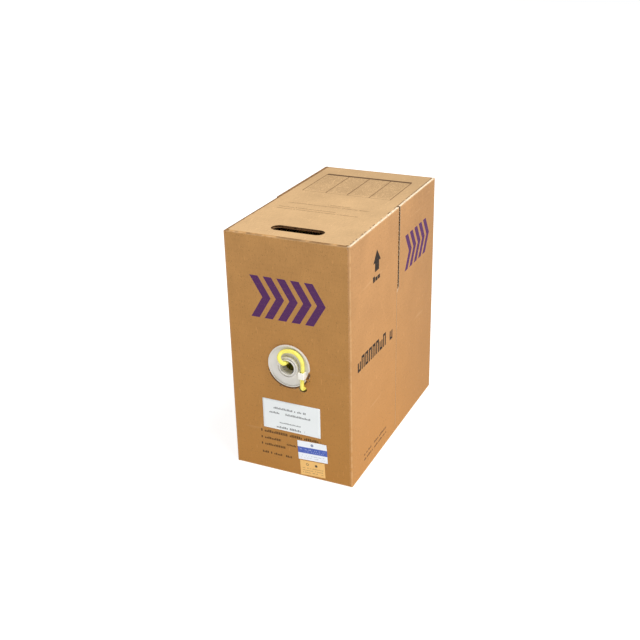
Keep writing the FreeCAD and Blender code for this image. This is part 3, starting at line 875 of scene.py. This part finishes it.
feedTube = {"bore": 11.5, "barrel": 19, "barb": 0.9, "reach": 10, "flange": 1.8, "rimWide": 1.6, "rimRise": 1.6,
            "collar": 17, "collarWall": 1.6, "collarLong": 8, "lipRise": 0.8, "soften": 0.55, "mouth": 2,
            "ringThick": 3.5, "barbSlope": 0.9, "gap": (-37, -7), "gapBite": 1.6, "gapEase": 3, "gapEdge": 0.8}
cableClip = {"wall": 1.7, "soften": 1.3, "edge": 0.5}


def makeFeedTube():
    t = feedTube
    rim, lip = tubeHigh.x, t["bore"] + t["collarWall"]
    face, inner = t["flange"] + t["rimRise"], rim - t["rimWide"]
    groove = t["collarLong"] - t["collarWall"]
    seat = boardThick + t["ringThick"]
    profile = rounded([
        (t["bore"] + t["mouth"], -t["reach"]), (t["barrel"] - t["barb"], -t["reach"]),
        (t["barrel"] + t["barb"], -seat - t["barbSlope"]),
        (t["barrel"] + t["barb"], -seat), (t["barrel"], -seat), (t["barrel"], 0), (rim, 0), (rim, face),
        (inner, face), (inner, t["flange"]), (t["collar"], t["flange"]), (t["collar"], t["collarLong"]),
        (t["collar"] - t["collarWall"], t["collarLong"]), (t["collar"] - t["collarWall"], groove),
        (lip, groove), (lip, t["collarLong"] + t["lipRise"]), (t["bore"], t["collarLong"] + t["lipRise"]),
        (t["bore"], t["mouth"] - t["reach"])], t["soften"])

    def rimGap(angle, radius, along):
        # the raised rim is broken away beside the clip
        degrees = math.degrees(angle)
        degrees = degrees - 360 if degrees > 180 else degrees
        (start, end), ramp, edge = t["gap"], t["gapEase"], t["gapEdge"]
        share = min(1, max(0, (degrees - start) / ramp)) * min(1, max(0, (end - degrees) / ramp))
        if radius > inner - edge:
            along = min(along, t["flange"]) * share + along * (1 - share)
            radius -= t["gapBite"] * share * (radius - inner + edge) / (2 * edge)
        return radius, along

    mesh = bmesh.new()
    lathe(mesh, tubeCentre, -axisY, profile, 180, rimGap)
    makePiece("feed_tube_moulding", mesh, "carton", ["feed_tube"], ("white",), 50)

    lower, upper = cad("cable_clip")
    middle, wall = (lower.x + upper.x) / 2, cableClip["wall"]
    half, roof = upper.x - middle, upper.y - lower.y
    bridge = [(-half, 0), (wall - half, 0), (wall - half, roof - wall), (half - wall, roof - wall),
              (half - wall, 0), (half, 0), (half, roof), (-half, roof)]
    mesh = bmesh.new()
    origin = Vector((middle, upper.y, (lower.z + upper.z) / 2))
    tall = (upper.z - lower.z) / 2
    outline = rounded(bridge, cableClip["soften"])
    plate(mesh, (origin, axisX, -axisY, -axisZ), [outline], -tall, tall, (0, 0, 0))
    clip = makePiece("cable_clip_moulding", mesh, "carton", ["cable_clip"], ("clip",), 50)
    bevel = clip.modifiers.new("soft edges", "BEVEL")
    bevel.width, bevel.segments, bevel.limit_method = cableClip["edge"] / 1000, 2, "ANGLE"
    print("feed tube and clip ready")


# The cable's free end, from the winding out through the tube, round its collar, under the clip and in again.
# Places are from the middle of the tube's face.
tailRoute = [
    (-24.0, 42.0, 84.7), (-14.0, 19.0, 44.9), (-4.5, 13.5, 22.0), (-2.5, 13.5, 7.4), (-2.6, -1.0, 7.0),
    (-3.0, -13.4, 7.0), (-11.0, -14.4, 15.5), (-10.5, -6.4, 23.0), (0.0, -5.4, 26.8), (10.5, -5.1, 26.6),
    (19.0, -5.1, 21.0), (24.0, -5.1, 12.5), (24.4, -5.1, 2.5), (23.5, -5.0, -7.5), (23.4, -5.5, -16.0),
    (23.5, -7.2, -21.6), (23.5, -6.9, -34.2), (23.2, 7.0, -34.4),
]
cable = {"diameter": 6, "smoothness": 14, "turnSamples": 8, "turnSteps": 160, "boreGap": 0.1, "outerSkin": 1}


def makeCableTail():
    curve = bpy.data.curves.new("cable_tail_jacket", "CURVE")
    curve.dimensions = "3D"
    curve.bevel_depth = cable["diameter"] / 2000
    curve.bevel_resolution = 6
    curve.resolution_u = cable["smoothness"]
    curve.use_fill_caps = True
    line = curve.splines.new("NURBS")
    line.points.add(len(tailRoute) - 1)
    for knot, spot in zip(line.points, tailRoute):
        knot.co = (*((tubeCentre + Vector(spot)) / 1000), 1)
    line.order_u = 3
    line.use_endpoint_u = True
    curve.materials.append(finishes["jacket"])
    mount(bpy.data.objects.new("cable_tail_jacket", curve), "carton", ["cable_tail"])
    print("cable tail ready")


def makeWinding():
    # the wound cable: its outer layer runs round as one thread
    lower, upper = cad("cable_winding")
    radius, bore = upper.y, cad("spool_core")[1].y + cable["boreGap"]
    turns = round((upper.x - lower.x) / cable["diameter"])
    pitch = (upper.x - lower.x) / turns
    samples = cable["turnSamples"] * turns
    mesh = bmesh.new()

    def thread(angle, reach, along):
        if reach < radius - cable["outerSkin"]:
            return reach, along
        lift = abs(math.sin(math.pi * (along / pitch + angle / (2 * math.pi))))
        return radius - cable["diameter"] / 2 + cable["diameter"] / 2 * math.sqrt(max(0, lift)), along

    outside = [(radius, lower.x + (upper.x - lower.x) * step / samples) for step in range(samples + 1)]
    profile = [(bore, lower.x), *outside, (bore, upper.x)]
    lathe(mesh, Vector((0, 0, axleHeight)), axisX, profile, cable["turnSteps"], thread)
    makePiece("cable_winding_turns", mesh, "spool", ["cable_winding"], ("jacket",), 60)
    print("winding ready")


labels = {
    "shipping_label": {"tilt": 0, "lift": 0.5, "corner": (1, -1)},
    "blue_sticker": {"tilt": 2.8, "lift": 0.9, "corner": (1, 1)},
    "tan_sticker": {"tilt": 2.8, "lift": 0.7, "corner": (-1, -1)},
}
paper = {"columns": 28, "rows": 16, "away": 0.28, "curlFrom": 1.3, "curlOver": 0.7, "thick": 0.22}
labelLines = [
    {"left": -30, "right": 25, "top": 13.5, "tall": 3.4, "cell": 2.5},
    {"left": -37.5, "right": 32.5, "top": 5, "tall": 3.4, "cell": 2.5},
    {"left": -20.5, "right": 15.5, "top": -11.5, "tall": 2.2, "cell": 2},
    {"left": -26, "right": 22, "top": -19, "tall": 3.6, "cell": 2.8},
]


def onLabel(name, x, z):
    # places on a label, from its middle and in its own tilt
    lower, upper = cad(name)
    across, up = x - (lower.x + upper.x) / 2, z - (lower.z + upper.z) / 2
    tilt = math.radians(labels[name]["tilt"])
    return (across * math.cos(tilt) + up * math.sin(tilt), up * math.cos(tilt) - across * math.sin(tilt))


def paperFinish(name, tone, marks):
    def recipe(x, y, z):
        u, v = onLabel(name, x, z)
        fibre = noise(point(x, y, z), 0.8, 3)
        colour = blend(fibre * 0.6 + noise(point(x, y, z), 16, 2) * 0.4, shaded(tone, 0.93), shaded(tone, 1.05))
        for mask, markColour in marks(u, v):
            colour = blend(mask * ease(fibre, 0.2, 0.4) * 0.95, colour, markColour)
        return {"Base Color": colour, "Roughness": 0.5 + fibre * 0.2, "Normal": bump(fibre * 0.03)}
    return makeMaterial(name.replace("_", " "), recipe)


def shippingMarks(u, v):
    return [(total([madeUpLines(u, v, block) for block in labelLines]) * 0.85, paint(70, 70, 72))]


def blueMarks(u, v):
    band = within(v, -4.5, 6)
    inBand = madeUpLines(u, v, {"left": -21, "right": 21, "top": 3, "tall": 1.6, "cell": 1.6, "rowPitch": 3.4,
                                "rows": 2, "gaps": 0.55})
    small = madeUpLines(u, v, {"left": -20, "right": 20, "top": -8, "tall": 1.5, "cell": 1.4, "rowPitch": 3.6,
                               "rows": 2, "gaps": 0.3})
    seal = distance(u, v - 11) < 2.4
    return [(band, paint(22, 70, 176)), (inBand * 0.55, paint(225, 232, 245)),
            (small * 0.5, paint(90, 100, 130)), (seal * 0.8, paint(60, 84, 140))]


def tanMarks(u, v):
    dot = distance(u - 6.5, v - 6) < 2.3
    ringMark = abs(distance(u + 8.5, v - 6.5) - 1.9) < 0.55
    small = madeUpLines(u, v, {"left": -17, "right": 18, "top": 0.5, "tall": 1.4, "cell": 1.5, "rowPitch": 4,
                               "rows": 3, "gaps": 0.25})
    return [(dot, paint(24, 18, 14)), (ringMark * 0.7, paint(60, 44, 30)), (small * 0.7, paint(90, 62, 34))]


def makeLabel(name, tone, marks):
    lower, upper = cad(name)
    facts = labels[name]
    tilt = math.radians(facts["tilt"])
    wide, tall = upper.x - lower.x, upper.z - lower.z
    turned = math.cos(tilt) ** 2 - math.sin(tilt) ** 2
    halfWide = (wide * math.cos(tilt) - tall * math.sin(tilt)) / turned / 2
    halfTall = (tall * math.cos(tilt) - wide * math.sin(tilt)) / turned / 2
    u, v = Vector((math.cos(tilt), 0, math.sin(tilt))), Vector((-math.sin(tilt), 0, math.cos(tilt)))
    centre = (lower + upper) / 2
    finishes[name] = paperFinish(name, tone, marks)
    mesh = bmesh.new()
    columns, rows = paper["columns"], paper["rows"]
    grid = []
    for row in range(rows + 1):
        for column in range(columns + 1):
            across, up = 2 * column / columns - 1, 2 * row / rows - 1
            # the chosen corner curls away from the board
            corner = across * facts["corner"][0] + up * facts["corner"][1]
            near = max(0, corner - paper["curlFrom"]) / paper["curlOver"]
            away = paper["away"] + facts["lift"] * near ** 2
            spot = centre + u * across * halfWide + v * up * halfTall
            grid.append(mesh.verts.new((spot.x, -depth / 2 - away, spot.z)))
    for row in range(rows):
        for column in range(columns):
            k = row * (columns + 1) + column
            mesh.faces.new((grid[k], grid[k + 1], grid[k + columns + 2], grid[k + columns + 1]))
    finishing = makePiece(f"{name}_paper", mesh, "carton", [name], (name,))
    skin = finishing.modifiers.new("paper", "SOLIDIFY")
    skin.thickness, skin.offset = paper["thick"] / 1000, -1
    print(name, "ready")


def finishCarriedOver():
    chosen = {
        "plywood": ("left_spool_flange", "right_spool_flange"),
        "steel": ("axle_tube", "tie_bolts", "tie_nuts", "tie_washers"),
        "black": ("left_hub_bush", "right_hub_bush"),
        "white": ("left_axle_cap", "right_axle_cap", "tube_lock_ring"),
        "core": ("spool_core",),
    }
    for key, nodes in chosen.items():
        for node in nodes:
            for place in frame["nodes"][node].material_slots:
                place.material = finishes[key]
    print("carried-over parts finished")


studio = {"sky": 0.46, "keyStrength": 3.1, "keyFrom": Vector((1.5, -0.25, 3.1)), "keyWidth": 30,
          "floorHalf": 6, "floorDrop": 0.3}


def makeStudio():
    mesh = bmesh.new()
    half = studio["floorHalf"] * 1000
    corners = [mesh.verts.new((a * half, b * half, -studio["floorDrop"]))
               for a, b in ((-1, -1), (1, -1), (1, 1), (-1, 1))]
    mesh.faces.new(corners)
    data = meshData("floor", mesh)
    data.materials.append(finishes["floor"])
    floor = bpy.data.objects.new("floor", data)
    scene.collection.objects.link(floor)

    world = bpy.data.worlds.new("studio")
    scene.world = world
    world.use_nodes = True
    tree = world.node_tree
    wire = Wire(tree)
    seen = wire.node("LightPath", out="Is Camera Ray")
    strength = seen * (1 - studio["sky"]) + studio["sky"]
    tree.links.new(strength.socket, tree.nodes["Background"].inputs["Strength"])
    tree.nodes["Background"].inputs["Color"].default_value = (1, 1, 1, 1)

    key = bpy.data.objects.new("key light", bpy.data.lights.new("key light", "SUN"))
    key.data.energy = studio["keyStrength"]
    key.data.angle = math.radians(studio["keyWidth"])
    key.location = studio["keyFrom"]
    aim = Vector((0, 0, height / 2000)) - studio["keyFrom"]
    key.rotation_mode = "QUATERNION"
    key.rotation_quaternion = aim.to_track_quat("-Z", "Y")
    scene.collection.objects.link(key)
    scene.view_settings.view_transform = "Standard"
    print("studio ready")


makeCarton()
makeSideFlaps()
makeHandHoleFlap()
makeFeedTube()
makeCableTail()
makeWinding()
makeLabel("shipping_label", paint(236, 240, 240), shippingMarks)
makeLabel("blue_sticker", paint(240, 244, 250), blueMarks)
makeLabel("tan_sticker", paint(240, 190, 112), tanMarks)
finishCarriedOver()
makeStudio()
